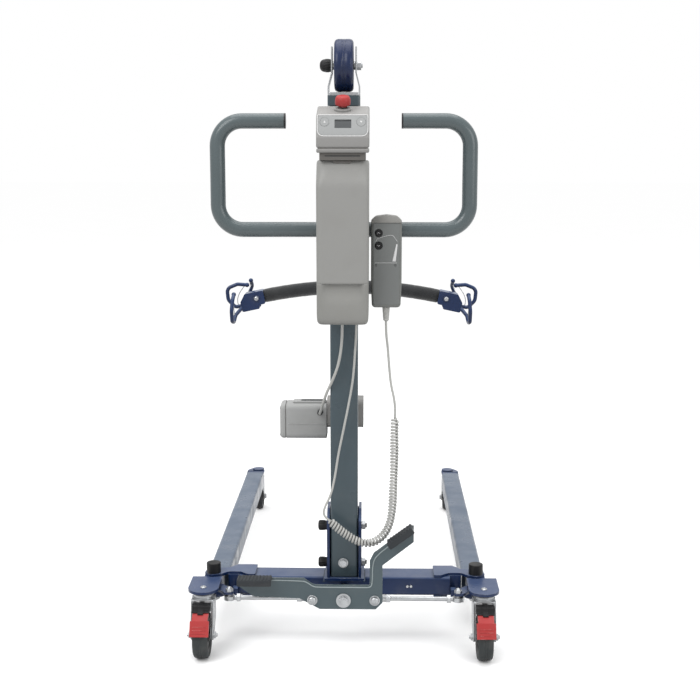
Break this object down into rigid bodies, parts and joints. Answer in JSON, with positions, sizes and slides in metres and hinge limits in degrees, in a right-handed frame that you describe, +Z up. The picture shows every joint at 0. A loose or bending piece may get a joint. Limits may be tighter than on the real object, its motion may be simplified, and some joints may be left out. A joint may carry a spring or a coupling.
{
  "type": "sit to stand lift",
  "caption": "Mobile patient lift with a spreading castered base, square mast, electric boom, hooked spreader bar, push handle, control box and corded handset",
  "frame": {"origin": "under the middle of the overall box, on the floor that the wheels stand on", "axes": "+Z up, +Y towards the open end of the base, away from the attendant, +X to the attendant's right"},
  "size_m": [0.6984, 1.2295, 1.316],
  "materials": {
    "blue_paint": "satin powder coat",
    "grey_green_paint": "semi-gloss powder coat",
    "rocker_paint": "satin powder coat",
    "handle_paint": "semi-gloss powder coat",
    "zinc_steel": "bright zinc plate",
    "chromed_rod": "polished",
    "black_plastic": "fine texture",
    "black_rubber": "matt",
    "grey_tyre": "matt rubber",
    "black_tyre": "matt rubber",
    "blue_tyre": "satin polyurethane",
    "red_plastic": "satin",
    "light_plastic": "fine spark texture",
    "battery_plastic": "fine spark texture",
    "handset_plastic": "fine spark texture",
    "lcd": "gloss",
    "key_grey": "satin membrane",
    "grip_foam": "closed-cell foam",
    "cord_grey": "satin sheath"
  },
  "bodies": {
    "base": {"base_crossbar": "blue_paint", "mast_bracket": "blue_paint", "base_fasteners": "zinc_steel", "plastic_caps": "black_plastic", "mast_tube": "grey_green_paint", "mast_head": "grey_green_paint", "handle_bar": "handle_paint", "handle_clamp": "black_plastic", "top_fork": "zinc_steel", "top_axle": "zinc_steel", "control_mount": "light_plastic", "control_head": "light_plastic", "lcd_screen": "lcd", "estop_collar": "light_plastic", "pivot_bolts": "zinc_steel", "handset_body": "handset_plastic", "handset_relief": "cord_grey", "handset_lead_lower": "cord_grey", "handset_lead_upper": "cord_grey", "handset_coil": "cord_grey", "actuator_cable": "cord_grey", "cable_glands": "cord_grey"},
    "rocker": {"rocker_pedal": "rocker_paint", "pedal_pads": "black_rubber"},
    "boom": {"boom": "grey_green_paint"},
    "actuator": {"actuator_body": "light_plastic", "actuator_motor": "light_plastic"},
    "ram": {"actuator_rod": "chromed_rod"},
    "hanger": {"hanger": "blue_paint", "hanger_bolt": "zinc_steel"},
    "spreader": {"spreader_bar": "blue_paint", "spreader_grip": "grip_foam", "hook_head_left": "blue_paint", "hook_head_right": "blue_paint"},
    "battery": {"battery_pack": "battery_plastic"},
    "head_key_up": {"head_key_up": "key_grey"},
    "head_key_down": {"head_key_down": "key_grey"},
    "stop_button": {"estop_button": "red_plastic"},
    "handset_key_up": {"handset_key_up": "black_plastic"},
    "handset_key_down": {"handset_key_down": "black_plastic"},
    "transport_wheel": {"top_wheel": "blue_tyre"},
    "axle_knob": {"top_knob": "black_plastic"},
    "upper_knob": {"mast_knob_upper": "black_plastic"},
    "lower_knob": {"mast_knob_lower": "black_plastic"},
    "leg_left": {"leg_left": "blue_paint"},
    "ball_left": {"ball_stud_left": "zinc_steel"},
    "rod_left": {"tie_rod_left": "zinc_steel"},
    "rear_swivel_left": {"rear_fork_left": "zinc_steel"},
    "rear_wheel_left": {"rear_wheel_left": "grey_tyre"},
    "brake_left": {"brake_pedal_left": "red_plastic"},
    "front_swivel_left": {"front_fork_left": "zinc_steel"},
    "front_wheel_left": {"front_wheel_left": "black_tyre"},
    "leg_right": {"leg_right": "blue_paint"},
    "ball_right": {"ball_stud_right": "zinc_steel"},
    "rod_right": {"tie_rod_right": "zinc_steel"},
    "rear_swivel_right": {"rear_fork_right": "zinc_steel"},
    "rear_wheel_right": {"rear_wheel_right": "grey_tyre"},
    "brake_right": {"brake_pedal_right": "red_plastic"},
    "front_swivel_right": {"front_fork_right": "zinc_steel"},
    "front_wheel_right": {"front_wheel_right": "black_tyre"}
  },
  "joints": [
    {"name": "leg_spread", "type": "hinge", "parent": "base", "child": "rocker", "pos_m": [0, -0.52275, 0.118], "axis": [0, 1, 0], "range_deg": [0, 33.65]},
    {"name": "leg_left_swing", "type": "hinge", "parent": "base", "child": "leg_left", "pos_m": [-0.294, -0.43075, 0], "axis": [0, 0, 1], "range_deg": [0, 12.01]},
    {"name": "ball_left_turn", "type": "hinge", "parent": "leg_left", "child": "ball_left", "pos_m": [-0.25, -0.51075, 0.118], "axis": [0, 0, 1], "range_deg": [-15.53, 0]},
    {"name": "rod_left_tilt", "type": "hinge", "parent": "ball_left", "child": "rod_left", "pos_m": [-0.25, -0.51075, 0.118], "axis": [0, 1, 0], "range_deg": [-11.97, 0]},
    {"name": "rear_swivel_left", "type": "hinge", "parent": "leg_left", "child": "rear_swivel_left", "pos_m": [-0.305, -0.52675, 0.126], "axis": [0, 0, 1], "continuous": true},
    {"name": "rear_wheel_left", "type": "hinge", "parent": "rear_swivel_left", "child": "rear_wheel_left", "pos_m": [-0.305, -0.55775, 0.05], "axis": [1, 0, 0], "continuous": true},
    {"name": "brake_left", "type": "hinge", "parent": "rear_swivel_left", "child": "brake_left", "pos_m": [-0.305, -0.56475, 0.114], "axis": [1, 0, 0], "range_deg": [0, 2]},
    {"name": "front_swivel_left", "type": "hinge", "parent": "leg_left", "child": "front_swivel_left", "pos_m": [-0.284, 0.55725, 0.104], "axis": [0, 0, 1], "continuous": true},
    {"name": "front_wheel_left", "type": "hinge", "parent": "front_swivel_left", "child": "front_wheel_left", "pos_m": [-0.284, 0.57725, 0.0375], "axis": [1, 0, 0], "continuous": true},
    {"name": "leg_right_swing", "type": "hinge", "parent": "base", "child": "leg_right", "pos_m": [0.294, -0.43075, 0], "axis": [0, 0, 1], "range_deg": [-12.01, 0]},
    {"name": "ball_right_turn", "type": "hinge", "parent": "leg_right", "child": "ball_right", "pos_m": [0.25, -0.51075, 0.118], "axis": [0, 0, 1], "range_deg": [0, 15.53]},
    {"name": "rod_right_tilt", "type": "hinge", "parent": "ball_right", "child": "rod_right", "pos_m": [0.25, -0.51075, 0.118], "axis": [0, 1, 0], "range_deg": [-11.97, 0]},
    {"name": "rear_swivel_right", "type": "hinge", "parent": "leg_right", "child": "rear_swivel_right", "pos_m": [0.305, -0.52675, 0.126], "axis": [0, 0, 1], "continuous": true},
    {"name": "rear_wheel_right", "type": "hinge", "parent": "rear_swivel_right", "child": "rear_wheel_right", "pos_m": [0.305, -0.55775, 0.05], "axis": [1, 0, 0], "continuous": true},
    {"name": "brake_right", "type": "hinge", "parent": "rear_swivel_right", "child": "brake_right", "pos_m": [0.305, -0.56475, 0.114], "axis": [1, 0, 0], "range_deg": [0, 2]},
    {"name": "front_swivel_right", "type": "hinge", "parent": "leg_right", "child": "front_swivel_right", "pos_m": [0.284, 0.55725, 0.104], "axis": [0, 0, 1], "continuous": true},
    {"name": "front_wheel_right", "type": "hinge", "parent": "front_swivel_right", "child": "front_wheel_right", "pos_m": [0.284, 0.57725, 0.0375], "axis": [1, 0, 0], "continuous": true},
    {"name": "boom_lift", "type": "hinge", "parent": "base", "child": "boom", "pos_m": [0, -0.35575, 1.13], "axis": [1, 0, 0], "range_deg": [0, 50]},
    {"name": "actuator_tilt", "type": "hinge", "parent": "base", "child": "actuator", "pos_m": [0, -0.33875, 0.44], "axis": [1, 0, 0], "range_deg": [-1.56, 0]},
    {"name": "ram_extend", "type": "slide", "parent": "actuator", "child": "ram", "axis": [0, 0.246, 0.9693], "range_m": [0, 0.17578]},
    {"name": "hanger_level", "type": "hinge", "parent": "boom", "child": "hanger", "pos_m": [0, 0.33725, 0.815], "axis": [1, 0, 0], "range_deg": [-50.05, 0]},
    {"name": "spreader_turn", "type": "hinge", "parent": "hanger", "child": "spreader", "pos_m": [0, 0.33725, 0.752], "axis": [0, 0, 1], "continuous": true},
    {"name": "battery_out", "type": "slide", "parent": "base", "child": "battery", "axis": [0, -1, 0], "range_m": [0, 0.15]},
    {"name": "head_key_up_press", "type": "slide", "parent": "base", "child": "head_key_up", "axis": [0, 0.9567, -0.2912], "range_m": [0, 0.0015], "stiffness_N_per_m": 400},
    {"name": "head_key_down_press", "type": "slide", "parent": "base", "child": "head_key_down", "axis": [0, 0.9567, -0.2912], "range_m": [0, 0.0015], "stiffness_N_per_m": 400},
    {"name": "stop_press", "type": "slide", "parent": "base", "child": "stop_button", "axis": [0, 0.2631, -0.9648], "range_m": [0, 0.004], "stiffness_N_per_m": 1200},
    {"name": "handset_key_up_press", "type": "slide", "parent": "base", "child": "handset_key_up", "axis": [0, 1, 0], "range_m": [0, 0.0015], "stiffness_N_per_m": 400},
    {"name": "handset_key_down_press", "type": "slide", "parent": "base", "child": "handset_key_down", "axis": [0, 1, 0], "range_m": [0, 0.0015], "stiffness_N_per_m": 400},
    {"name": "transport_wheel_turn", "type": "hinge", "parent": "base", "child": "transport_wheel", "pos_m": [0, -0.43475, 1.2615], "axis": [1, 0, 0], "continuous": true},
    {"name": "axle_knob_turn", "type": "hinge", "parent": "base", "child": "axle_knob", "pos_m": [-0.04, -0.43475, 1.2615], "axis": [1, 0, 0], "continuous": true},
    {"name": "upper_knob_turn", "type": "hinge", "parent": "base", "child": "upper_knob", "pos_m": [-0.048, -0.43075, 0.259], "axis": [1, 0, 0], "continuous": true},
    {"name": "lower_knob_turn", "type": "hinge", "parent": "base", "child": "lower_knob", "pos_m": [-0.048, -0.43075, 0.174], "axis": [1, 0, 0], "continuous": true}
  ],
  "couplings": [
    {"joint": "leg_left_swing", "follows": "leg_spread", "ratio": 0.35661},
    {"joint": "ball_left_turn", "follows": "leg_spread", "ratio": -0.46086},
    {"joint": "rod_left_tilt", "follows": "leg_spread", "ratio": -0.3551},
    {"joint": "leg_right_swing", "follows": "leg_spread", "ratio": -0.35661},
    {"joint": "ball_right_turn", "follows": "leg_spread", "ratio": 0.46086},
    {"joint": "rod_right_tilt", "follows": "leg_spread", "ratio": -0.3551},
    {"joint": "actuator_tilt", "follows": "boom_lift", "ratio": -0.0308},
    {"joint": "ram_extend", "follows": "boom_lift", "m_per_rad": 0.2012},
    {"joint": "hanger_level", "follows": "boom_lift", "ratio": -1}
  ]
}
